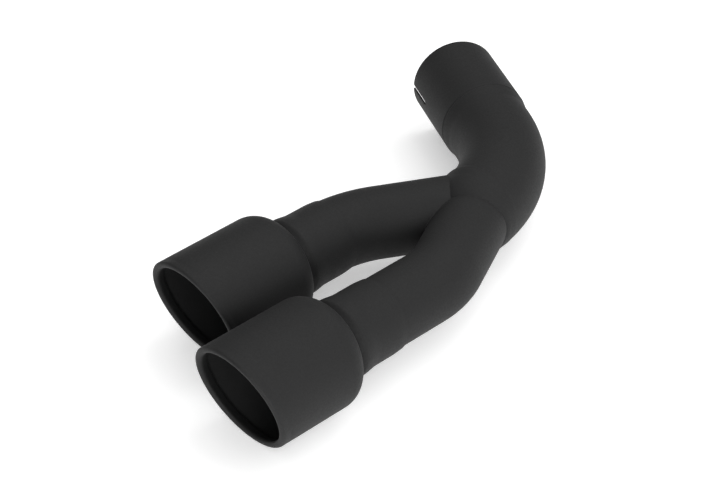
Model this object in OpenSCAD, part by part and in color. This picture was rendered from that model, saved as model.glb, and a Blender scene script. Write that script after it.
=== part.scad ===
// Dual-outlet exhaust tip.
// A slotted inlet sleeve is clamped over the end of the tail pipe. The pipe turns through a wide elbow
// into a round collector, where two branch tubes leave side by side. Each branch bends back until it
// runs straight, slips into the neck of its own round tip, and ends in a slash-cut mouth whose edge is
// rolled inward. The two tips are alike, but one stands further out than the other.
// Millimetres. The mouths face -Y and +Z is up. The origin is the centre of the open end of the inlet.

/* [Inlet sleeve] */
// Outside diameter of the tail pipe that the sleeve slips over
pipe_od = 79.4; // [70:0.1:84]
// Wall of the elbow pipe and its sleeve
pipe_wall = 1.8; // [1.2:0.1:3]
// Straight length of the expanded sleeve
sleeve_len = 83.5; // [60:0.5:110]
// Length over which the pipe swells to the sleeve
swell_len = 11.5; // [8:0.5:16]
// Plain straight pipe between the elbow and the swelling
lead_len = 9.5; // [4:0.5:20]
// Number of clamp slots around the open end
slot_count = 2; // [1:1:3]
// Width of a clamp slot
slot_w = 4; // [2:0.5:8]
// Length of a clamp slot
slot_len = 34; // [20:1:50]

/* [Elbow] */
// Radius of the elbow, to the pipe's centre line
elbow_radius = 135.8; // [110:0.2:170]
// Angle that the elbow turns through
elbow_sweep = 55.9; // [40:0.1:65]
// Angle between the collector's axis and the direction of the tips
collector_yaw = 8; // [0:0.5:14]

/* [Collector] */
// Extra radius of the collector's rim over the pipe
rim_rise = 1.6; // [0.8:0.1:3]
// Radius of the rounded end of the collector
rim_round = 16.4; // [12:0.2:20]
// Length of the full-width band behind the rounded end
rim_band = 2.4; // [1:0.2:8]
// Distance that the full-width band starts past the elbow's first section
rim_ahead = 6.2; // [2:0.2:12]

/* [Branch tubes] */
// Outside diameter of the branch tubes
branch_od = 65; // [58:0.5:68]
// Wall of the branch tubes, necks and tips
tube_wall = 1.6; // [1.2:0.1:2.4]
// How far past the elbow's first section the branch axes cross
cross_ahead = 9.7; // [4:0.1:16]
// Sideways distance from the crossing to the left tip
left_offset = 60.9; // [54:0.1:70]
// Sideways distance from the crossing to the right tip
right_offset = 51.1; // [48:0.1:64]
// Straight length from the left neck's open end to the bend, below 0 where the bend starts inside the neck
left_lead = -9.7; // [-11:0.1:10]
// Straight length from the right neck's open end to the bend
right_lead = 53.4; // [40:0.1:60]
// How far the left bend reaches each side of the corner that it rounds off
left_run = 28.3; // [22:0.1:32]
// How far the right bend reaches each side of the corner that it rounds off
right_run = 18.8; // [15:0.1:26]

/* [Necks] */
// Length of a neck from the tip's shoulder to its open end
neck_len = 57.5; // [45:0.5:80]
// Extra radius of the foot that is welded to the shoulder
foot_rise = 1.7; // [0.8:0.1:3]
// Length of the foot
foot_len = 16; // [10:0.5:22]
// Length of the slope from the foot to the neck
foot_slope = 6; // [3:0.5:10]
// Depth at which the branch tube is stopped inside the neck, from the shoulder
stop_depth = 10; // [6:0.5:20]

/* [Tips] */
// Outside diameter of each tip
tip_od = 101.6; // [92:0.2:106]
// Length of each tip from the middle of its mouth to the neck
tip_len = 102; // [85:0.5:130]
// Radius of the shoulder
shoulder_r = 20.3; // [14:0.1:24]
// Slash angle of the mouth
slash = 15; // [5:1:25]
// Radius of the rolled edge
roll_r = 3.2; // [2.8:0.1:5]
// Depth of the turned-back edge inside the mouth
roll_back = 10; // [8:0.5:14]
// How far the right tip stands out past the left one
stagger = 49.8; // [30:0.1:60]
// Distance along the tips from the elbow's first section to the left mouth
left_reach = 276.6; // [262:0.1:300]

/* [Fits] */
// Radial play of a branch tube in its neck
slip_gap = 0.2; // [0.1:0.05:0.4]
// Weld gap where tubes are coped to the collector and to each other
weld_gap = 0.2; // [0.1:0.05:0.4]

/* [Hidden] */
$fn = 96;
BLACK = "#303030";

// Elbow pipe and sleeve
pipe_r = pipe_od / 2;
bore_r = pipe_r - pipe_wall;
sleeve_r = pipe_r + pipe_wall;
inlet_run = lead_len + swell_len + sleeve_len;
inlet_yaw = collector_yaw + elbow_sweep;

// Collector rim
rim_r = pipe_r + rim_rise;
rim_core = rim_r - rim_round;
rim_end = rim_ahead + rim_band;
// Drop and length of the cone behind the band
rim_fall = 2 * pipe_wall;

// Branches
branch_r = branch_od / 2;
branch_bore = branch_r - tube_wall;

// Necks
neck_bore = branch_r + slip_gap;
neck_r = neck_bore + tube_wall;
foot_r = neck_r + foot_rise;
edge = tube_wall / 5;

// Tips
tip_r = tip_od / 2;
shoulder_core = tip_r - shoulder_r;
seat_r = foot_r - 0.5;
seat_rise = sqrt(pow(shoulder_r, 2) - pow(seat_r - shoulder_core, 2));
shoulder_y = tip_len - seat_rise;
slash_run = tip_r * tan(slash);
// How far the shell reaches into the rolled edge
roll_lap = (roll_back - roll_r) / 4;
ROLL_N = 72;
ROLL_STEPS = 7;
// The rolled edge has flat sides, so where it joins the shell it stands clear by more than their depth
JOIN = 1.1 * tip_r * (1 - cos(180 / ROLL_N)) + 0.002;
// A bend draws the tube in a little, and the straight lengths lap it, so that they join as one
SLIM = 0.1;
LAP = 0.5;

// Layout seen from above, measured from the elbow's first section, with the tips along -Y
collector_dir = [-sin(collector_yaw), cos(collector_yaw)];
cross_x = cross_ahead * collector_dir[0];
cross_y = cross_ahead * collector_dir[1];
left_x = cross_x - left_offset;
right_x = cross_x + right_offset;
left_y = -left_reach;
right_y = left_y - stagger;

// Each branch runs straight from the crossing to a corner in line with its neck. The bend rounds the
// corner off, so the angle and the radius of the bend follow from where the corner lies.
function corner(mouth_y, lead, run) = cross_y - mouth_y - tip_len - neck_len - lead - run;
left_corner = corner(left_y, left_lead, left_run);
right_corner = corner(right_y, right_lead, right_run);
left_angle = atan2(left_offset, left_corner);
right_angle = atan2(right_offset, right_corner);
left_bend = left_run / tan(left_angle / 2);
right_bend = right_run / tan(right_angle / 2);
crotch_turn = (left_angle - right_angle) / 2;

// The neck's open end is belled inside, so that a bend can start in it and still clear its wall.
bell_len = max(edge, -left_lead, -right_lead);
// Radius of the inner side of the bend that starts first, then how far it strays over the bell's length
bell_bend = (left_lead < right_lead ? left_bend : right_bend) - branch_r;
bell_stray = bell_bend - sqrt(pow(bell_bend, 2) - pow(bell_len, 2));
bell_rise = min(0.7 * tube_wall, slip_gap + bell_stray);

// Middle of the elbow's last section, then of the inlet's open end
bend_x = elbow_radius * (cos(inlet_yaw) - cos(collector_yaw));
bend_y = elbow_radius * (sin(inlet_yaw) - sin(collector_yaw));
inlet_x = bend_x - inlet_run * sin(inlet_yaw);
inlet_y = bend_y + inlet_run * cos(inlet_yaw);

// Moves a piece from the elbow's first section to the part's origin.
module placed() translate([-inlet_x, -inlet_y, 0]) children();

// Turns a piece drawn along +Z so that it runs along +Y, turned yaw degrees towards -X.
module along(yaw) rotate([0, 0, yaw]) rotate([-90, 0, 0]) children();

// Half outline of the rounded collector end: nose, full-width band and a short cone back to the pipe.
module collector_outline(nose) {
    wide = rim_core + nose;
    intersection() {
        translate([rim_core, rim_ahead])
            circle(r = nose, $fn = 48);
        translate([rim_core, rim_ahead - nose])
            square([nose, nose]);
    }
    translate([0, rim_ahead - nose])
        square([rim_core, nose]);
    translate([0, rim_ahead])
        square([wide, rim_band]);
    polygon([[0, rim_end], [wide, rim_end], [wide - rim_fall, rim_end + rim_fall], [0, rim_end + rim_fall]]);
}

// Pipe elbow of radius r, from its first section to its last.
module elbow_arc(r) {
    rotate([0, 0, collector_yaw])
        translate([-elbow_radius, 0, 0])
            rotate_extrude(angle = elbow_sweep)
                translate([elbow_radius, 0])
                    circle(r = r - SLIM);
}

// Straight run from the elbow to the open end: the pipe swells to the sleeve.
module straight_run(narrow, wide, over = 0) {
    translate([bend_x, bend_y, 0])
        along(inlet_yaw)
            rotate_extrude()
                polygon([
                    [0, -LAP],
                    [narrow, -LAP],
                    [narrow, lead_len],
                    [wide, lead_len + swell_len],
                    [wide, inlet_run + over],
                    [0, inlet_run + over]
                ]);
}

// The elbow's outside as one solid, grown by a gap where something is coped to it.
module elbow_outside(grow = 0) {
    along(collector_yaw)
        rotate_extrude()
            collector_outline(rim_round + grow);
    elbow_arc(pipe_r + grow);
    straight_run(pipe_r + grow, sleeve_r + grow);
}

// The hollow inside the elbow, open at the inlet.
module elbow_inside() {
    along(collector_yaw)
        rotate_extrude()
            collector_outline(rim_round - pipe_wall);
    elbow_arc(bore_r);
    straight_run(bore_r, pipe_r, 5);
}

// Clamp slots, cut from the open end and rounded where they stop.
module clamp_slots() {
    translate([bend_x, bend_y, 0])
        along(inlet_yaw)
            for (i = [0:slot_count - 1])
                rotate([0, 0, 180 + i * 360 / slot_count])
                    translate([0, 0, inlet_run - slot_len + slot_w / 2]) {
                        rotate([0, 90, 0])
                            cylinder(d = slot_w, h = sleeve_r + 5);
                        translate([0, -slot_w / 2, 0])
                            cube([sleeve_r + 5, slot_w, slot_len + 5]);
                    }
}

// Solid path of a branch: the leg from the crossing, the bend, and the straight stub into the neck.
// side is -1 for the left branch and 1 for the right one. over lengthens the stub's end.
module branch_path(side, r, over = 0) {
    offset = side < 0 ? left_offset : right_offset;
    angle = side < 0 ? left_angle : right_angle;
    bend = side < 0 ? left_bend : right_bend;
    run = side < 0 ? left_run : right_run;
    lead = side < 0 ? left_lead : right_lead;
    leg = offset / sin(angle) - run;
    stub = neck_len - stop_depth + lead;
    start_y = (side < 0 ? left_y : right_y) + tip_len + neck_len + lead;
    x = cross_x + side * offset;
    // Drawn about the middle of the bend, whose first section faces the neck.
    translate([x, start_y, 0])
        mirror([side < 0 ? 0 : 1, 0, 0])
            translate([bend, 0, 0]) {
                rotate([0, 0, 180 - angle]) {
                    rotate_extrude(angle = angle)
                        translate([bend, 0])
                            circle(r = r - SLIM);
                    translate([bend, LAP, 0])
                        rotate([90, 0, 0])
                            cylinder(r = r, h = leg + LAP);
                    rotate([0, 0, angle])
                        translate([bend, -LAP, 0])
                            rotate([-90, 0, 0])
                                cylinder(r = r, h = stub + over + LAP);
                }
            }
}

// Everything on the far side of the plane where the two branches meet.
module other_side(side) {
    big = 2 * (tip_len + left_reach);
    translate([cross_x, cross_y, 0])
        rotate([0, 0, -crotch_turn])
            translate([side < 0 ? -weld_gap / 2 : weld_gap / 2 - big, -big / 2, -big / 2])
                cube(big);
}

// One branch tube, coped to the collector and mitred against its twin.
module branch(side) {
    difference() {
        branch_path(side, branch_r);
        branch_path(side, branch_bore, 1);
        elbow_outside(weld_gap);
        other_side(side);
    }
}

// Neck sleeve: a foot on the tip's shoulder, and a bore that stops the branch tube.
module neck() {
    top = tip_len + neck_len;
    along(0)
        rotate_extrude()
            polygon([
                [branch_bore, tip_len],
                [foot_r, tip_len],
                [foot_r, tip_len + foot_len],
                [neck_r, tip_len + foot_len + foot_slope],
                [neck_r, top - edge],
                [neck_r - edge, top],
                [neck_bore + bell_rise, top],
                [neck_bore, top - bell_len],
                [neck_bore, tip_len + stop_depth],
                [branch_bore, tip_len + stop_depth]
            ]);
}

// A tip filled in, at a depth of inset below its outer surface: a barrel and a rounded shoulder.
module tip_solid(inset) {
    translate([0, 0, shoulder_y]) {
        rotate_extrude()
            intersection() {
                union() {
                    translate([shoulder_core, 0])
                        circle(r = shoulder_r - inset);
                    square([shoulder_core, shoulder_r - inset]);
                }
                square([tip_r, seat_rise]);
            }
        mirror([0, 0, 1])
            cylinder(r = tip_r - inset, h = shoulder_y + slash_run + 5);
    }
}

// Half turn of the roll at a radius of r about its own centre, and the same points the other way
function roll_arc(r) = [for (i = [0:ROLL_STEPS]) let (a = 180 * i / ROLL_STEPS) [r * cos(a), -r * sin(a)]];
function roll_at(points) = [for (p = points) [tip_r - roll_r + p[0], roll_r + p[1]]];
function reversed(points) = [for (i = [len(points) - 1:-1:0]) points[i]];

// Outline of the rolled edge as radius and depth: out to the front, round, back inside, and home.
function roll_outline() = let (c = tip_r - roll_r, q = roll_r - tube_wall)
    concat(
        [[tip_r + JOIN, roll_back], [tip_r + JOIN, roll_back - 2 * roll_lap]],
        roll_at(roll_arc(roll_r)),
        [[c - roll_r, roll_back], [c - q, roll_back]],
        roll_at(reversed(roll_arc(q))),
        [[tip_r - tube_wall - JOIN, roll_back - 2 * roll_lap], [tip_r - tube_wall - JOIN, roll_back]]
    );

// The outline carried round the tip, each point set back by the slash at its own height.
module rolled_edge() {
    outline = roll_outline();
    m = len(outline);
    polyhedron(
        points = [
            for (i = [0:ROLL_N - 1], p = outline)
                let (a = 360 * i / ROLL_N)
                    [p[0] * cos(a), p[0] * sin(a), p[1] + tan(slash) * p[0] * sin(a)]
        ],
        faces = [
            for (i = [0:ROLL_N - 1], k = [0:m - 1])
                let (j = (i + 1) % ROLL_N, n = (k + 1) % m)
                    [i * m + k, j * m + k, j * m + n, i * m + n]
        ]
    );
}

// One tip: a spun shell with a rounded shoulder, slashed at the mouth and closed by the rolled edge.
module tip() {
    along(0) {
        difference() {
            tip_solid(0);
            tip_solid(tube_wall);
            cylinder(r = branch_bore, h = 2 * tip_len);
            translate([0, 0, roll_back - roll_lap])
                rotate([slash, 0, 0])
                    translate([-tip_len, -tip_len, -2 * tip_len])
                        cube(2 * tip_len);
        }
        rolled_edge();
    }
}

module at_left() placed() translate([left_x, left_y, 0]) children();
module at_right() placed() translate([right_x, right_y, 0]) children();

module elbow() {
    color(BLACK)
        placed()
            difference() {
                elbow_outside();
                elbow_inside();
                branch_mouth(-1);
                branch_mouth(1);
                clamp_slots();
            }
}

// The opening that a branch's bore leaves in the collector. It is cut from half way between the crossing
// and the rounded end, ahead of the two points where the bores only touch.
module branch_mouth(side) {
    translate([cross_x, cross_y, 0])
        along(180 + side * (side < 0 ? left_angle : right_angle))
            translate([0, 0, (cross_ahead + rim_round - rim_ahead) / 2])
                cylinder(r = branch_bore, h = 3 * rim_r);
}

module left_branch() color(BLACK) placed() branch(-1);
module right_branch() color(BLACK) placed() branch(1);
module left_neck() color(BLACK) at_left() neck();
module right_neck() color(BLACK) at_right() neck();
module left_tip() color(BLACK) at_left() tip();
module right_tip() color(BLACK) at_right() tip();

elbow();
left_branch();
right_branch();
left_neck();
right_neck();
left_tip();
right_tip();
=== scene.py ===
# %% [markdown]
# # A black exhaust tip with two mouths
# The real thing is a welded steel pipe: a slotted sleeve clamps over the tail pipe, a wide elbow ends in a
# rounded collector, and two bent branch tubes carry two round tips with slash-cut, rolled edges. All of it
# wears one satin black coating. The shapes and sizes come from a CAD part that is loaded first, and every
# piece made here stands on the same axes, so nothing has to be fitted by eye.

import math

import bmesh
import bpy
import numpy as np
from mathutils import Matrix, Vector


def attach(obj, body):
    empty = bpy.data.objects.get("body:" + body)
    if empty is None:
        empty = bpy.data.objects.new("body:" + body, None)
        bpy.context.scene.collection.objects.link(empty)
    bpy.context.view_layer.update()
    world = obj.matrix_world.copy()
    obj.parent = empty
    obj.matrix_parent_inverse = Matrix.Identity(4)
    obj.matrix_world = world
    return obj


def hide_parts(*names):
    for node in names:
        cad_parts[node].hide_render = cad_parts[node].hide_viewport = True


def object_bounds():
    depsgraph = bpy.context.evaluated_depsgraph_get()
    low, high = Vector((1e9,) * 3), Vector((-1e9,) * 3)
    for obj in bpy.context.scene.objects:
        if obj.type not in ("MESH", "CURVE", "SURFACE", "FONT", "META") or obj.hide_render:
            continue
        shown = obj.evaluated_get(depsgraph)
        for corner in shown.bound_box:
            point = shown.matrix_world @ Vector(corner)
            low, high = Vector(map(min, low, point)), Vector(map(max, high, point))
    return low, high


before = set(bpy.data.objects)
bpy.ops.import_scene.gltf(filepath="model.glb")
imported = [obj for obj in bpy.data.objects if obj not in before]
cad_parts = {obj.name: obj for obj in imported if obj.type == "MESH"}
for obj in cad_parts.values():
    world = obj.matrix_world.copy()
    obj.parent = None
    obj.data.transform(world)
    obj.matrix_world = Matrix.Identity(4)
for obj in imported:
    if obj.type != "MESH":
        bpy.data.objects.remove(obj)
cad_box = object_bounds()
print("CAD nodes:", sorted(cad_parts))
print("CAD box in metres:", [[round(v, 4) for v in corner] for corner in cad_box])

# %% [markdown]
# ## The camera
# The photograph was taken with a long lens from rather more than two metres away, 35 degrees above the part
# and 46 degrees round from the mouths. A long lens keeps the two mouths almost the same size. The numbers
# come from fitting the tubes' outlines, so the render can be laid over the photograph.

# %% The camera
lens = bpy.data.cameras.new("photo_view")
lens.sensor_width = 36
lens.lens = 122.378
camera = bpy.data.objects.new("photo_view", lens)
camera.location = (1.37927, -1.46905, 1.23734)
camera.rotation_euler = (math.radians(54.67), 0, math.radians(45.78))
bpy.context.scene.collection.objects.link(camera)
bpy.context.scene.camera = camera
print("camera at", tuple(round(v, 3) for v in camera.location))

# %% [markdown]
# ## Sizes
# A maker works in millimetres, so the sizes are written that way and turned into metres when a mesh is
# made. They are the same numbers as in the CAD part. The layout is flat: every tube's centre line lies in
# the plane z = 0. Yaw angles turn from +Y towards -X.

# %% Sizes in millimetres
MM = 0.001
PIPE_R, PIPE_WALL = 39.7, 1.8
LEAD, SWELL, SLEEVE = 9.5, 11.5, 83.5
SLOT_W, SLOT_LEN = 4, 34
ELBOW_R, ELBOW_SWEEP, COLLECTOR_YAW = 135.8, math.radians(55.9), math.radians(8)
RIM_RISE, RIM_ROUND, RIM_BAND, RIM_AHEAD, RIM_FILLET = 1.6, 16.4, 2.4, 6.2, 1.2
BRANCH_R, TUBE_WALL, CROSS_AHEAD = 32.5, 1.6, 9.7
TIP_R, TIP_LEN, SHOULDER_R, SLASH = 50.8, 102, 20.3, math.radians(15)
ROLL_R, ROLL_BACK = 3.2, 10
NECK_LEN, FOOT_RISE, FOOT_LEN, FOOT_SLOPE, STOP_DEPTH, SLIP = 57.5, 1.7, 16, 6, 10, 0.2
LEFT_REACH, STAGGER = 276.6, 49.8
BRANCHES = {
    "left": dict(side=-1, offset=60.9, lead=-9.7, run=28.3, reach=LEFT_REACH),
    "right": dict(side=1, offset=51.1, lead=53.4, run=18.8, reach=LEFT_REACH + STAGGER),
}


def heading(yaw):
    """Unit vector that points along +Y, turned towards -X by yaw."""
    return np.array([-math.sin(yaw), math.cos(yaw), 0.0])


def spoke(angle):
    """Unit vector at an angle from +X."""
    return np.array([math.cos(angle), math.sin(angle), 0.0])


INLET_YAW = COLLECTOR_YAW + ELBOW_SWEEP
INLET_RUN = LEAD + SWELL + SLEEVE
bend_end = ELBOW_R * (spoke(INLET_YAW) - spoke(COLLECTOR_YAW))
START = -(bend_end + INLET_RUN * heading(INLET_YAW))
BEND_END = START + bend_end
CROSSING = START + CROSS_AHEAD * heading(COLLECTOR_YAW)
for name, b in BRANCHES.items():
    b["mouth"] = np.array([CROSSING[0] + b["side"] * b["offset"], START[1] - b["reach"], 0.0])
    b["bend_y"] = b["mouth"][1] + TIP_LEN + NECK_LEN + b["lead"]
    b["angle"] = math.atan2(b["offset"], CROSSING[1] - b["bend_y"] - b["run"])
    b["bend"] = b["run"] / math.tan(b["angle"] / 2)
    print(name, "mouth centre in mm:", b["mouth"].round(2), "bend:", round(b["bend"], 1))

# %% [markdown]
# ## Distance fields for the welded pipes
# Where tubes are welded and thickly coated, no edge stays sharp. One way to get that is to bevel the edges
# after a boolean, but a bevel along a curved cut breaks up. Another is a distance field: a formula that
# gives each point's distance to a surface. Two fields join with a smooth minimum, which fills the crease
# with a fillet. A formula also has a slope, and that gives the normals without any help from the mesh.

# %% Distance to a straight and to a bent centre line


def to_line(p, a, b):
    """Distance from each point to the stretch from a to b."""
    along = b - a
    share = np.clip((p - a) @ along / (along @ along), 0, 1)
    return np.linalg.norm(p - a - share[:, None] * along, axis=1)


def to_bend(p, centre, radius, start, sweep):
    """Distance from each point to an arc in the plane z = 0."""
    away = p - centre
    middle = start + sweep / 2
    turn = (np.arctan2(away[:, 1], away[:, 0]) - middle + math.pi) % (2 * math.pi) - math.pi
    turn = middle + np.clip(turn, -sweep / 2, sweep / 2)
    near = centre + radius * np.stack([np.cos(turn), np.sin(turn), np.zeros(len(turn))], axis=1)
    return np.linalg.norm(p - near, axis=1)


def smooth_min(a, b, width):
    """The lesser of two fields, with a fillet about width wide where they cross."""
    near = np.maximum(width - np.abs(a - b), 0) / width
    return np.minimum(a, b) - near**2 * width / 4


def smooth_max(a, b, width):
    """The greater of two fields, with a rounded edge."""
    return -smooth_min(-a, -b, width)


def seam(a, b, width, depth):
    """The lesser of two fields, with a narrow groove along their crossing."""
    near = np.maximum(width - np.abs(a - b), 0) / width
    return np.minimum(a, b) + near**2 * depth


# %% [markdown]
# ## Centre lines
# A branch leaves the crossing on a straight leg, bends back, and runs into its neck. The elbow is one arc
# with a short straight lead. Each centre line is kept twice: as a field, and as a list of points that a
# rough tube can be swept along.

# %% The branch and elbow centre lines


def branch_line(b):
    """End, corners and bend of one branch."""
    x, side, bend_y = b["mouth"][0], b["side"], b["bend_y"]
    centre = np.array([x - side * b["bend"], bend_y, 0.0])
    start = 0 if side > 0 else math.pi - b["angle"]
    stop = np.array([x, b["mouth"][1] + TIP_LEN + STOP_DEPTH, 0.0])
    knee = centre + b["bend"] * spoke(b["angle"] if side > 0 else math.pi - b["angle"])
    return dict(stop=stop, foot=np.array([x, bend_y, 0.0]), centre=centre, start=start, knee=knee)


def to_branch(p, b):
    line = b["line"]
    straight = np.minimum(to_line(p, line["stop"], line["foot"]), to_line(p, line["knee"], CROSSING))
    return np.minimum(straight, to_bend(p, line["centre"], b["bend"], line["start"], b["angle"]))


ELBOW_CENTRE = START - ELBOW_R * spoke(COLLECTOR_YAW)


def to_elbow(p):
    straight = to_line(p, BEND_END, BEND_END + (LEAD + SWELL) * heading(INLET_YAW))
    return np.minimum(straight, to_bend(p, ELBOW_CENTRE, ELBOW_R, COLLECTOR_YAW, ELBOW_SWEEP))


def to_collector(p, nose):
    """Field of the rounded collector end: a full nose in front, and a short cone back to the pipe. The rim
    stands proud on the inner side of the bend and fades into the pipe on the outer side."""
    axis = heading(COLLECTOR_YAW)
    s = (p - START) @ axis
    out = np.linalg.norm(p - START - s[:, None] * axis, axis=1)
    outward = (p - START) @ spoke(COLLECTOR_YAW) / np.maximum(out, 1)
    fade = np.clip(0.5 - 1.25 * outward, -1, 1)
    core = PIPE_R + RIM_RISE * fade - RIM_ROUND
    ds = np.maximum(np.maximum(RIM_AHEAD - s, s - RIM_AHEAD - RIM_BAND), 0)
    drum = np.hypot(ds, np.maximum(out - core, 0)) - nose
    cone = (s + out - RIM_AHEAD - RIM_BAND - core - nose) / math.sqrt(2)
    return smooth_max(drum, cone, RIM_FILLET)


for name, b in BRANCHES.items():
    b["line"] = branch_line(b)
    print(name, "branch bends about", b["line"]["centre"].round(1))

# %% [markdown]
# ## One field for the outside, one for the bore
# The branches meet each other in a sharp crotch, and a fine groove runs along the weld where they meet the
# collector. The groove is deepest on the outer side of the bend, where the rim is ground flush. The bore is
# the same field with each wall taken off and small fillets instead of the groove.

# %% The joined fields
CROTCH_FILLET, PIPE_FILLET, BORE_FILLET = 1.5, 2, 1.5
GROOVE_WIDTH, GROOVE_DEPTH = 2, 0.7


def outside_parts(p):
    """Left branch, right branch and elbow as separate fields."""
    pipe = smooth_min(to_elbow(p) - PIPE_R, to_collector(p, RIM_ROUND), PIPE_FILLET)
    return [to_branch(p, b) - BRANCH_R for b in BRANCHES.values()] + [pipe]


def bore_parts(p):
    pipe = smooth_min(to_elbow(p) - PIPE_R + PIPE_WALL, to_collector(p, RIM_ROUND - PIPE_WALL), PIPE_FILLET)
    return [to_branch(p, b) - BRANCH_R + TUBE_WALL for b in BRANCHES.values()] + [pipe]


def outside(p):
    left, right, pipe = outside_parts(p)
    outer_side = np.clip(0.4 + (p - START) @ spoke(COLLECTOR_YAW) / PIPE_R, 0.15, 1)
    return seam(smooth_min(left, right, CROTCH_FILLET), pipe, GROOVE_WIDTH, GROOVE_DEPTH * outer_side)


def bore(p):
    left, right, pipe = bore_parts(p)
    return smooth_min(smooth_min(left, right, CROTCH_FILLET), pipe, BORE_FILLET)


def slope(field, p, step=0.03):
    """Gradient of a field, by central differences."""
    d = np.eye(3) * step
    return np.stack([field(p + d[i]) - field(p - d[i]) for i in range(3)], axis=1) / (2 * step)


print("field at the crossing:", outside(CROSSING[None]).round(1))

# %% [markdown]
# ## Rough tubes, then a skin
# A voxel remesh turns overlapping rough tubes into one closed net of even squares. Its points are then
# pulled onto the exact field, so the net's own stair steps vanish, and relaxed along the surface to keep
# the squares even. This gives a surface as smooth as a drawn tube, with soft creases where the welds are.

# %% Sweep a rough tube


def sweep(points, radii, around=96):
    """A closed tube along points in the plane z = 0."""
    points = np.asarray(points, float)
    ahead = np.gradient(points, axis=0)
    ahead /= np.linalg.norm(ahead, axis=1)[:, None]
    across = np.stack([-ahead[:, 1], ahead[:, 0], ahead[:, 2]], axis=1)
    turn = np.linspace(0, 2 * math.pi, around, endpoint=False)
    ring = across[:, None] * np.cos(turn)[None, :, None] + np.array([0, 0, 1.0]) * np.sin(turn)[None, :, None]
    verts = (points[:, None] + ring * np.asarray(radii, float)[:, None, None]).reshape(-1, 3)
    rows, faces = len(points), []
    for i in range(rows - 1):
        for k in range(around):
            n = (k + 1) % around
            faces.append((i * around + k, i * around + n, (i + 1) * around + n, (i + 1) * around + k))
    faces.append(tuple(range(around))[::-1])
    faces.append(tuple((rows - 1) * around + k for k in range(around)))
    return verts, faces


def spaced(a, b, step=4):
    n = max(2, int(np.linalg.norm(b - a) / step))
    return [a + (b - a) * i / n for i in range(n)]


def branch_points(b):
    line, angle = b["line"], b["angle"]
    first, last = (0, angle) if b["side"] > 0 else (math.pi, math.pi - angle)
    arc = [line["centre"] + b["bend"] * spoke(first + (last - first) * i / 16) for i in range(16)]
    return spaced(line["stop"], line["foot"]) + arc + spaced(line["knee"], CROSSING) + [CROSSING]


def elbow_points():
    arc = [ELBOW_CENTRE + ELBOW_R * spoke(COLLECTOR_YAW + ELBOW_SWEEP * i / 32) for i in range(32)]
    end = BEND_END + (LEAD + SWELL) * heading(INLET_YAW)
    return arc + spaced(BEND_END, end) + [end]


def collector_points(nose):
    """Axis points and radii of the rough collector."""
    core, cone = PIPE_R + RIM_RISE - RIM_ROUND, 5
    turn = np.linspace(0.02, math.pi / 2, 12)
    band_end = RIM_AHEAD + RIM_BAND
    s = np.concatenate([RIM_AHEAD - nose * np.cos(turn), [band_end, band_end + cone]])
    r = np.concatenate([core + nose * np.sin(turn), [core + nose, core + nose - cone]])
    return [START + v * heading(COLLECTOR_YAW) for v in s], r


# %% Wrap the tubes in an even net


def rough_tubes(wall_branch, wall_pipe):
    nose, radii = collector_points(RIM_ROUND - wall_pipe)
    lines = [(branch_points(b), BRANCH_R - wall_branch) for b in BRANCHES.values()]
    lines.append((elbow_points(), PIPE_R - wall_pipe))
    parts = [sweep(points, [r] * len(points)) for points, r in lines]
    parts.append(sweep(nose, radii))
    verts, faces, count = [], [], 0
    for v, f in parts:
        verts.append(v)
        faces += [tuple(i + count for i in face) for face in f]
        count += len(v)
    return np.concatenate(verts), faces


def net_over(verts, faces, size):
    """Voxel remesh of a mesh given in millimetres; returns points and square faces."""
    mesh = bpy.data.meshes.new("rough")
    mesh.from_pydata((verts * MM).tolist(), [], faces)
    rough = bpy.data.objects.new("rough", mesh)
    bpy.context.scene.collection.objects.link(rough)
    wrap = rough.modifiers.new("wrap", "REMESH")
    wrap.mode = "VOXEL"
    wrap.voxel_size = size * MM
    wrapped = rough.evaluated_get(bpy.context.evaluated_depsgraph_get()).to_mesh()
    p = np.empty(len(wrapped.vertices) * 3)
    wrapped.vertices.foreach_get("co", p)
    squares = np.array([tuple(f.vertices) for f in wrapped.polygons if len(f.vertices) == 4])
    bpy.data.objects.remove(rough)
    return p.reshape(-1, 3) / MM, squares


def settle(p, squares, field, rounds=6):
    """Relax the net and pull it onto the field, over and over."""
    a = squares.ravel()
    b = np.roll(squares, -1, axis=1).ravel()
    count = np.bincount(a, minlength=len(p)) + np.bincount(b, minlength=len(p))
    for _ in range(rounds):
        total = np.stack(
            [np.bincount(a, p[b, i], len(p)) + np.bincount(b, p[a, i], len(p)) for i in range(3)], axis=1
        )
        p = p + 0.5 * (total / count[:, None] - p)
        for _ in range(2):
            g = slope(field, p)
            p = p - (field(p) / np.maximum((g**2).sum(1), 0.2))[:, None] * g
    return p


OUTSIDE_NET, BORE_NET = 0.95, 2.2
outer_points, outer_faces = net_over(*rough_tubes(0, 0), OUTSIDE_NET)
outer_points = settle(outer_points, outer_faces, outside)
print("outside net:", len(outer_faces), "squares")
print("it is off the field by", np.abs(outside(outer_points)).max().round(4), "mm at most")
bore_points, bore_faces = net_over(*rough_tubes(TUBE_WALL, PIPE_WALL), BORE_NET)
bore_points = settle(bore_points, bore_faces, bore)
print("bore net:", len(bore_faces), "squares")

# %% [markdown]
# ## Cutting the skin into the real pieces
# The net is one surface, but the real thing is an elbow and two branch tubes. Each square goes to the piece
# whose own field is nearest. Neighbouring pieces share their border points and normals, so no seam shows.
# The ends are then cut off square: the branches inside their necks, the elbow where the sleeve takes over.

# %% Build the elbow and the branches


def owner(p, parts):
    return np.argmin(np.stack(parts(p)), axis=0)


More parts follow.
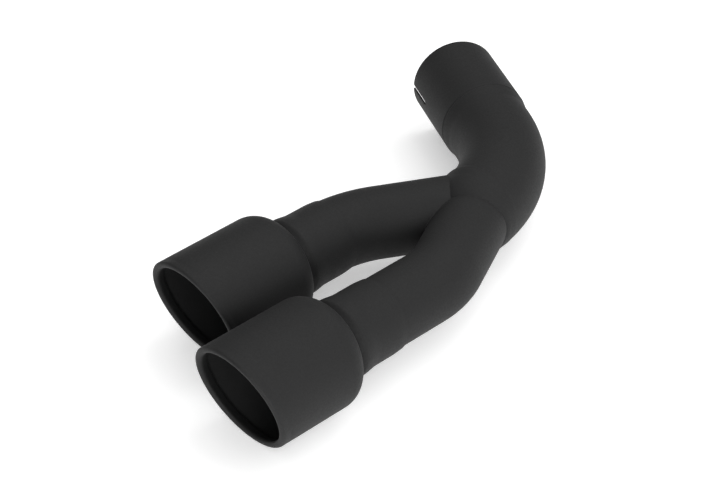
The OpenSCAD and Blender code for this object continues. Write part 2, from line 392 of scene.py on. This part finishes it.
def piece_mesh(name, layers, cut_at, cut_along):
    """A mesh from several nets: layers hold (points, squares, field, facing)."""
    verts, faces, count = [], [], 0
    for p, squares, _, facing in layers:
        used, index = np.unique(squares, return_inverse=True)
        index = index.reshape(squares.shape) + count
        faces += (index if facing > 0 else index[:, ::-1]).tolist()
        verts.append(p[used])
        count += len(used)
    mesh = bpy.data.meshes.new(name)
    mesh.from_pydata((np.concatenate(verts) * MM).tolist(), [], faces)
    net = bmesh.new()
    net.from_mesh(mesh)
    bmesh.ops.bisect_plane(
        net,
        geom=net.verts[:] + net.edges[:] + net.faces[:],
        plane_co=(cut_at * MM).tolist(),
        plane_no=cut_along.tolist(),
        clear_outer=True,
    )
    net.to_mesh(mesh)
    net.free()
    p = np.empty(len(mesh.vertices) * 3)
    mesh.vertices.foreach_get("co", p)
    p = p.reshape(-1, 3) / MM
    first = np.abs(layers[0][2](p)) < np.abs(layers[1][2](p))
    normals = np.where(first[:, None], slope(layers[0][2], p), -slope(layers[1][2], p))
    normals /= np.linalg.norm(normals, axis=1)[:, None]
    mesh.polygons.foreach_set("use_smooth", [True] * len(mesh.polygons))
    mesh.normals_split_custom_set_from_vertices(normals.tolist())
    return mesh


def place(name, mesh):
    piece = bpy.data.objects.new(name, mesh)
    bpy.context.scene.collection.objects.link(piece)
    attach(piece, "root")
    return piece


outer_owner = owner(outer_points[outer_faces].mean(axis=1), outside_parts)
bore_owner = owner(bore_points[bore_faces].mean(axis=1), bore_parts)
cuts = [(b["line"]["stop"], np.array([0, -1.0, 0])) for b in BRANCHES.values()]
cuts.append((BEND_END + LEAD / 2 * heading(INLET_YAW), heading(INLET_YAW)))
pieces = {}
for number, node in enumerate(["left_branch", "right_branch", "elbow"]):
    layers = [
        (outer_points, outer_faces[outer_owner == number], outside, 1),
        (bore_points, bore_faces[bore_owner == number], bore, -1),
    ]
    name = node + "_tube" if node != "elbow" else "elbow_pipe"
    pieces[name] = place(name, piece_mesh(name, layers, *cuts[number]))
    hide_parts(node)
    print(name, "has", len(pieces[name].data.polygons), "faces")

# %% [markdown]
# ## Turned pieces
# The necks, the tips and the sleeve are round about one axis, so each is an outline spun round it. The
# outline is drawn as depth and radius, its corners are rounded with short curves, and it closes on itself,
# so the piece has a real wall. A slash-cut mouth needs one thing more: each point slides along the axis by
# its height times the tangent of the slash.

# %% Round an outline's corners and spin it


def rounded(corners, steps=6):
    """Outline with each corner (depth, radius, fillet) replaced by a short curve."""
    out, n = [], len(corners)
    for i, (x, y, fillet) in enumerate(corners):
        here = np.array([x, y], float)
        if fillet == 0:
            out.append(here)
            continue
        sides = []
        for other in (corners[i - 1], corners[(i + 1) % n]):
            d = np.array(other[:2], float) - here
            length = np.linalg.norm(d)
            sides.append(here + d / length * min(fillet, 0.45 * length))
        for k in range(steps + 1):
            t = k / steps
            out.append((1 - t) ** 2 * sides[0] + 2 * t * (1 - t) * here + t**2 * sides[1])
    return np.array(out)


def thicken(outline, step):
    """Adds points to long stretches, so that shading has no slivers to cross."""
    out = []
    for i, here in enumerate(outline):
        ahead = outline[(i + 1) % len(outline)]
        n = max(1, int(np.ceil(np.linalg.norm((ahead - here)[:2]) / step)))
        out += [here + (ahead - here) * k / n for k in range(n)]
    return np.array(out)


def spin(outline, axis_at, yaw, around=192):
    """Closed ring of the outline (depth, radius, slash share) about a level axis. Depth follows the yaw."""
    turn = np.linspace(0, 2 * math.pi, around, endpoint=False)
    depth, radius = outline[:, 0][:, None], outline[:, 1][:, None]
    share = outline[:, 2][:, None] if outline.shape[1] > 2 else 0 * depth
    height = radius * np.sin(turn)
    along = depth - math.tan(SLASH) * height * share
    across = radius * np.cos(turn)
    side = spoke(yaw)
    p = (
        axis_at
        + along[..., None] * heading(yaw)
        + across[..., None] * side
        + height[..., None] * np.array([0, 0, 1.0])
    )
    rows = len(outline)
    i, k = np.meshgrid(np.arange(rows), np.arange(around), indexing="ij")
    i2, k2 = (i + 1) % rows, (k + 1) % around
    faces = np.stack([i * around + k, i * around + k2, i2 * around + k2, i2 * around + k], axis=-1)
    return p.reshape(-1, 3), faces.reshape(-1, 4)


SHARP = math.radians(35)


def ring_piece(name, verts, faces):
    mesh = bpy.data.meshes.new(name)
    mesh.from_pydata((verts * MM).tolist(), [], faces.tolist())
    net = bmesh.new()
    net.from_mesh(mesh)
    bmesh.ops.recalc_face_normals(net, faces=net.faces[:])
    net.to_mesh(mesh)
    net.free()
    mesh.polygons.foreach_set("use_smooth", [True] * len(mesh.polygons))
    mesh.set_sharp_from_angle(angle=SHARP)
    return place(name, mesh)


# %% [markdown]
# ## Necks
# A neck is a short sleeve: a thicker foot that is welded to the tip's shoulder, a soft slope, and an open
# end that the branch slips into. A groove is left between the shoulder and the foot, because there the weld
# pulls in, and the open end is dressed with a slight taper.

# %% The necks
bore_r = BRANCH_R - TUBE_WALL
neck_bore = BRANCH_R + SLIP
neck_r = neck_bore + TUBE_WALL
foot_r = neck_r + FOOT_RISE
neck_end = TIP_LEN + NECK_LEN
bell_len = -BRANCHES["left"]["lead"]
bell_bend = BRANCHES["left"]["bend"] - BRANCH_R
bell_rise = SLIP + bell_bend - math.sqrt(bell_bend**2 - bell_len**2)
weld_deep, weld_wide = 3, 8
taper_len, taper_drop = 8, 0.8
slope_mid, slope_half = TIP_LEN + FOOT_LEN + FOOT_SLOPE / 2, 8.5
foot_slope = []
for t in np.linspace(-1, 1, 13):
    fall = (1 - math.sin(t * math.pi / 2)) / 2
    foot_slope.append((slope_mid + slope_half * t, neck_r + FOOT_RISE * fall, 0))
neck_outline = rounded(
    [
        (TIP_LEN, bore_r, 0),
        (TIP_LEN, foot_r - weld_deep, 0),
        (TIP_LEN + 0.4 * weld_wide, foot_r - weld_deep, 3),
        (TIP_LEN + weld_wide, foot_r, 2.5),
        *foot_slope,
        (neck_end - taper_len, neck_r, 4),
        (neck_end, neck_r - taper_drop, 0.3),
        (neck_end, neck_bore + bell_rise, 0.2),
        (neck_end - bell_len, neck_bore, 0),
        (TIP_LEN + STOP_DEPTH, neck_bore, 0),
        (TIP_LEN + STOP_DEPTH, bore_r, 0),
    ]
)
for name, b in BRANCHES.items():
    verts, faces = spin(thicken(neck_outline, 4), b["mouth"], 0)
    pieces[name + "_neck_sleeve"] = neck = ring_piece(name + "_neck_sleeve", verts, faces)
    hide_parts(name + "_neck")
    print(neck.name, "has", len(neck.data.polygons), "faces")

# %% [markdown]
# ## Tips
# The tip is a spun shell: a straight barrel, a big rounded shoulder, and a mouth that is cut on the slant
# with its edge rolled inward. The roll is rather more than a half circle, and its lip leans back towards
# the wall, so that it closes the gap behind it. The rolling tool leaves a very shallow dip round the barrel
# behind the roll. The slash fades out along the straight barrel, where sliding a point along the axis
# changes nothing, and the shoulder stays square.

# %% The tips


def arc_of(depth, radius, r, first, last, steps):
    """Points on a circle in the outline's plane. An angle of 0 is out, 90 is towards the neck."""
    turn = np.radians(np.linspace(first, last, steps + 1))
    return np.stack([depth + r * np.sin(turn), radius + r * np.cos(turn)], axis=1)


shoulder_core = TIP_R - SHOULDER_R
seat_r = foot_r - 0.5
seat_turn = math.degrees(math.asin((seat_r - shoulder_core) / SHOULDER_R))
shoulder_at = TIP_LEN - SHOULDER_R * math.cos(math.radians(seat_turn))
inner_turn = math.degrees(math.asin((bore_r - shoulder_core) / (SHOULDER_R - TUBE_WALL)))
roll_core = TIP_R - ROLL_R
lip = ROLL_R - TUBE_WALL
lip_mid = (ROLL_R + lip) / 2
lip_lean = 20
lean = math.radians(lip_lean)
lip_run = (ROLL_BACK - ROLL_R - lip_mid * math.sin(lean)) / math.cos(lean)
lip_end = roll_core - lip_mid * math.cos(lean) + lip_run * math.sin(lean)
dip_half, dip_deep = 1.7, 0.35
dip = [[ROLL_BACK, TIP_R], [ROLL_BACK - dip_half, TIP_R - dip_deep], [ROLL_BACK - 2 * dip_half, TIP_R]]
tip_outline = np.concatenate(
    [
        arc_of(ROLL_R, roll_core, ROLL_R, 0, -180 - lip_lean, 28),
        arc_of(ROLL_BACK, lip_end, TUBE_WALL / 2, 180 - lip_lean, -lip_lean, 6),
        arc_of(ROLL_R, roll_core, lip, -180 - lip_lean, 0, 18),
        arc_of(shoulder_at, shoulder_core, SHOULDER_R - TUBE_WALL, 0, 90 - inner_turn, 16),
        [[TIP_LEN, bore_r]],
        arc_of(shoulder_at, shoulder_core, SHOULDER_R, 90 - seat_turn, 0, 24),
        dip,
    ]
)
share = np.clip((shoulder_at - tip_outline[:, 0]) / (shoulder_at - ROLL_BACK - TUBE_WALL), 0, 1)
tip_outline = thicken(np.column_stack([tip_outline, share]), 5)
for name, b in BRANCHES.items():
    verts, faces = spin(tip_outline, b["mouth"], 0, around=224)
    pieces[name + "_tip_shell"] = tip = ring_piece(name + "_tip_shell", verts, faces)
    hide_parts(name + "_tip")
    print(tip.name, "has", len(tip.data.polygons), "faces")

# %% [markdown]
# ## The inlet sleeve
# The pipe is swelled until a tail pipe slips inside it, and slots let a band clamp squeeze it. The tool
# that swells it leaves a fine ring where the slope ends. The ring is spun with the sleeve, and a boolean
# cuts both slots with one flat tongue that has a round end.

# %% The sleeve and its slots
sleeve_r = PIPE_R + PIPE_WALL
pipe_bore = PIPE_R - PIPE_WALL
ring_at, ring_half, ring_deep = LEAD + SWELL + 1.5, 1.3, 0.8
sleeve_outline = rounded(
    [
        (LEAD / 2, PIPE_R, 0),
        (LEAD, PIPE_R, 3),
        (LEAD + SWELL, sleeve_r, 1),
        (ring_at - ring_half, sleeve_r, 0.3),
        (ring_at, sleeve_r - ring_deep, 0.3),
        (ring_at + ring_half, sleeve_r, 0.3),
        (INLET_RUN, sleeve_r, 0.5),
        (INLET_RUN, PIPE_R, 0.5),
        (LEAD + SWELL, PIPE_R, 3),
        (LEAD, pipe_bore, 3),
        (LEAD / 2, pipe_bore, 0),
    ]
)
verts, faces = spin(thicken(sleeve_outline, 4), BEND_END, INLET_YAW)
pieces["inlet_sleeve"] = sleeve = ring_piece("inlet_sleeve", verts, faces)


def slot_tongue():
    """A flat tongue with a round end that reaches through both sides of the sleeve."""
    half, stop, spare = SLOT_W / 2, INLET_RUN - SLOT_LEN + SLOT_W / 2, 5
    turn = np.linspace(-math.pi / 2, math.pi / 2, 17)
    arc = [(stop - half * math.cos(t), half * math.sin(t)) for t in turn]
    outline = arc + [(INLET_RUN + spare, half), (INLET_RUN + spare, -half)]
    verts = []
    for side in (-sleeve_r - spare, sleeve_r + spare):
        for along, height in outline:
            flat = along * heading(INLET_YAW) + side * spoke(INLET_YAW)
            verts.append(BEND_END + flat + np.array([0, 0, height]))
    n = len(outline)
    faces = [(k, (k + 1) % n, n + (k + 1) % n, n + k) for k in range(n)]
    faces += [tuple(range(n))[::-1], tuple(range(n, 2 * n))]
    mesh = bpy.data.meshes.new("slot_tongue")
    mesh.from_pydata((np.array(verts) * MM).tolist(), [], faces)
    net = bmesh.new()
    net.from_mesh(mesh)
    bmesh.ops.recalc_face_normals(net, faces=net.faces[:])
    net.to_mesh(mesh)
    net.free()
    return bpy.data.objects.new("slot_tongue", mesh)


tongue = slot_tongue()
bpy.context.scene.collection.objects.link(tongue)
cut = sleeve.modifiers.new("slots", "BOOLEAN")
cut.operation = "DIFFERENCE"
cut.solver = "EXACT"
cut.object = tongue
slotted = bpy.data.meshes.new_from_object(sleeve.evaluated_get(bpy.context.evaluated_depsgraph_get()))
sleeve.modifiers.clear()
sleeve.data = slotted
bpy.data.objects.remove(tongue)
sleeve.data.set_sharp_from_angle(angle=SHARP)
print("inlet_sleeve has", len(sleeve.data.polygons), "faces after the slots are cut")

# %% [markdown]
# ## Shader maths as plain Python
# A node graph is easier to read as a formula. This small class wraps a socket, so that adding or
# multiplying two of them makes the Math node. Any other node comes from one method that takes its type, its
# settings and its inputs.

# %% A socket that does sums


class Value:
    def __init__(self, tree, socket):
        self.tree, self.socket = tree, socket

    def node(self, kind, settings=None, out=0, **inputs):
        """Makes a node. Inputs are given by socket name, with _ for a space."""
        made = self.tree.nodes.new(kind)
        for key, setting in (settings or {}).items():
            setattr(made, key, setting)
        for key, value in inputs.items():
            socket = made.inputs[int(key[1:]) if key[1:].isdigit() else key.replace("_", " ")]
            if isinstance(value, Value):
                self.tree.links.new(value.socket, socket)
            else:
                socket.default_value = value
        return Value(self.tree, made.outputs[out])

    def maths(self, operation, a, b):
        return self.node("ShaderNodeMath", {"operation": operation}, i0=a, i1=b)

    def __add__(self, other):
        return self.maths("ADD", self, other)

    def __radd__(self, other):
        return self.maths("ADD", other, self)

    def __sub__(self, other):
        return self.maths("SUBTRACT", self, other)

    def __rsub__(self, other):
        return self.maths("SUBTRACT", other, self)

    def __mul__(self, other):
        return self.maths("MULTIPLY", self, other)

    def __rmul__(self, other):
        return self.maths("MULTIPLY", other, self)


# %% [markdown]
# ## The black coating
# The finish is a baked satin black. Close up it has a very fine orange peel from the spray gun, a slight
# cloudiness in how it scatters light, and a colour that is nearly but not quite even. The patterns are set
# in object space, so they run on from piece to piece without a seam. A scale counts the pattern's cells in
# a metre: 2600 makes a grain under half a millimetre, 620 the orange peel, and 22 the clouds.

# %% The coating material


def black_coating():
    finish = bpy.data.materials.new("black_coating")
    finish.use_nodes = True
    tree = finish.node_tree
    tree.nodes.clear()
    start = Value(tree, None)
    where = start.node("ShaderNodeTexCoord", out="Object")
    peel = start.node("ShaderNodeTexNoise", Vector=where, Scale=620.0, Detail=2.0, Roughness=0.45)
    grain = start.node("ShaderNodeTexNoise", Vector=where, Scale=2600.0, Detail=1.0, Roughness=0.5)
    cloud = start.node("ShaderNodeTexNoise", Vector=where, Scale=22.0, Detail=3.0, Roughness=0.55)
    shade = 0.5 + 0.8 * (cloud - 0.5) + 0.9 * (peel - 0.5) + 0.6 * (grain - 0.5)
    colour = start.node(
        "ShaderNodeMix",
        {"data_type": "RGBA"},
        out=2,
        i0=shade,
        i6=(0.002, 0.002, 0.0021, 1),
        i7=(0.0062, 0.0062, 0.0064, 1),
    )
    height = peel * 0.75 + grain * 0.25
    bump = start.node("ShaderNodeBump", Strength=0.35, Distance=0.00012, Height=height)
    shader = start.node(
        "ShaderNodeBsdfPrincipled",
        Base_Color=colour,
        Roughness=0.71 + 0.14 * (cloud - 0.5) + 0.25 * (peel - 0.5) + 0.2 * (grain - 0.5),
        Normal=bump,
        IOR=1.43,
    )
    output = tree.nodes.new("ShaderNodeOutputMaterial")
    tree.links.new(shader.socket, output.inputs["Surface"])
    return finish


coating = black_coating()
for piece in pieces.values():
    piece.data.materials.clear()
    piece.data.materials.append(coating)
print("coating has", len(coating.node_tree.nodes), "nodes")

# %% [markdown]
# ## Floor and sky
# The part stands on a plain pale floor under a dim white sky. The floor glows a little, as a light table
# does. More lamps would turn it white as well, but they would also make the tops of the tubes too light.

# %% Floor and sky
floor_mesh = bpy.data.meshes.new("floor")
floor_gap, floor_half = 0.0002, 6
floor_z = float(cad_box[0][2]) - floor_gap
floor_corners = [(x * floor_half, y * floor_half, floor_z) for x, y in ((-1, -1), (1, -1), (1, 1), (-1, 1))]
floor_mesh.from_pydata(floor_corners, [], [(0, 1, 2, 3)])
floor = bpy.data.objects.new("floor", floor_mesh)
bpy.context.scene.collection.objects.link(floor)
pale = bpy.data.materials.new("pale_floor")
pale.use_nodes = True
paint = pale.node_tree.nodes["Principled BSDF"].inputs
paint["Base Color"].default_value = (0.9, 0.9, 0.9, 1)
paint["Roughness"].default_value = 0.9
paint["Specular IOR Level"].default_value = 0.1
paint["Emission Color"].default_value = (1, 1, 1, 1)
paint["Emission Strength"].default_value = 0.385
floor_mesh.materials.append(pale)

sky = bpy.data.worlds.new("white_sky")
sky.use_nodes = True
sky.node_tree.nodes["Background"].inputs["Color"].default_value = (1, 1, 1, 1)
sky.node_tree.nodes["Background"].inputs["Strength"].default_value = 0.21
bpy.context.scene.world = sky
bpy.context.scene.view_settings.view_transform = "Standard"
print("floor at", round(floor_z * 1000, 2), "mm")

# %% [markdown]
# ## Lamps
# Black shows its form mostly by what it reflects. A small lamp makes a hard streak on a tube, so eight
# lamps the size of a door stand round the part at three heights, and their soft reflections run into each
# other. The tubes stay dark only where they reflect each other. The strongest lamp is low and beside the
# camera. None of them shows in the picture.

# %% Lamps
LAMP_REACH = 2.6
PART_MIDDLE = np.array([0.12, -0.25, 0])


def soft_lamp(name, azimuth, elevation, size, power):
    """A large area lamp that looks at the middle of the part. Azimuth 0 is +X, 90 is +Y."""
    turn, lift = math.radians(azimuth), math.radians(elevation)
    away = np.array([math.cos(lift) * math.cos(turn), math.cos(lift) * math.sin(turn), math.sin(lift)])
    lamp = bpy.data.lights.new(name, "AREA")
    lamp.shape = "RECTANGLE"
    lamp.size, lamp.size_y = size
    lamp.energy = power
    holder = bpy.data.objects.new(name, lamp)
    holder.location = PART_MIDDLE + LAMP_REACH * away
    holder.rotation_euler = (math.pi / 2 - lift, 0, turn + math.pi / 2)
    holder.visible_camera = False
    bpy.context.scene.collection.objects.link(holder)
    print(name, "at", holder.location.to_tuple(2))


LOW, MIDDLE, HIGH = (1.9, 1.0), (2.2, 1.6), (2.0, 2.0)
soft_lamp("low_by_camera", -45, 13, LOW, 40)
soft_lamp("low_behind", 45, 13, LOW, 6)
soft_lamp("middle_by_camera", -45, 40, MIDDLE, 13)
soft_lamp("middle_right", 15, 40, MIDDLE, 14)
soft_lamp("middle_behind", 75, 40, MIDDLE, 7)
soft_lamp("middle_left", 135, 40, MIDDLE, 7)
soft_lamp("high_behind", 75, 67, HIGH, 21)
soft_lamp("high_left", 195, 67, HIGH, 13.5)
